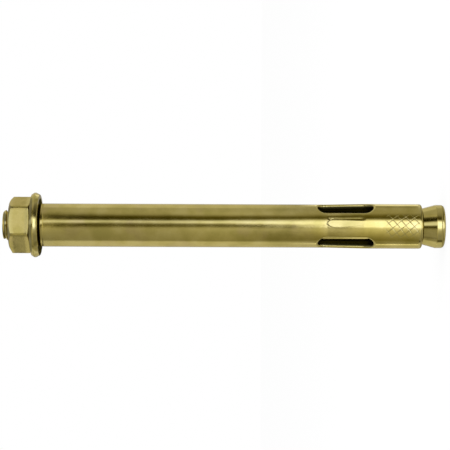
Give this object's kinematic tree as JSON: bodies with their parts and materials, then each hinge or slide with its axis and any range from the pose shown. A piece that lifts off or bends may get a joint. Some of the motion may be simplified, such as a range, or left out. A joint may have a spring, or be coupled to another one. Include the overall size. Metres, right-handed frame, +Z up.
{
  "type": "sleeve anchor",
  "caption": "Expansion anchor: a threaded stud with a cone end runs through a slotted sleeve, closed by a bevelled washer and a hex nut that draws the cone into the sleeve.",
  "frame": {"origin": "middle of the flat end face of the expander cone, on the axis of the stud", "axes": "+Z up the axis from the cone to the nut; -Y faces the middle of one leg, and the sleeve's seam is at +Y"},
  "size_m": [0.024, 0.024, 0.1632],
  "materials": {
    "stud_zinc": "yellow passivated zinc on cold-headed steel, satin",
    "sleeve_zinc": "yellow passivated zinc on rolled steel strip, bright satin",
    "washer_zinc": "yellow passivated zinc on stamped steel, satin",
    "nut_zinc": "yellow passivated zinc on cold-formed steel, mottled satin"
  },
  "bodies": {
    "stud": {"cone_stud": "stud_zinc"},
    "sleeve": {"expansion_sleeve": "sleeve_zinc", "flat_washer": "washer_zinc"},
    "nut": {"hex_nut": "nut_zinc"}
  },
  "joints": [
    {"name": "sleeve_travel", "type": "slide", "parent": "stud", "child": "sleeve", "axis": [0, 0, 1], "range_m": [0, 0.007]},
    {"name": "nut_turn", "type": "hinge", "parent": "sleeve", "child": "nut", "pos_m": [0, 0, 0.1568], "axis": [0, 0, 1], "range_deg": [0, 1440]}
  ],
  "couplings": [
    {"joint": "nut_turn", "follows": "sleeve_travel", "rad_per_m": 3590.4}
  ]
}
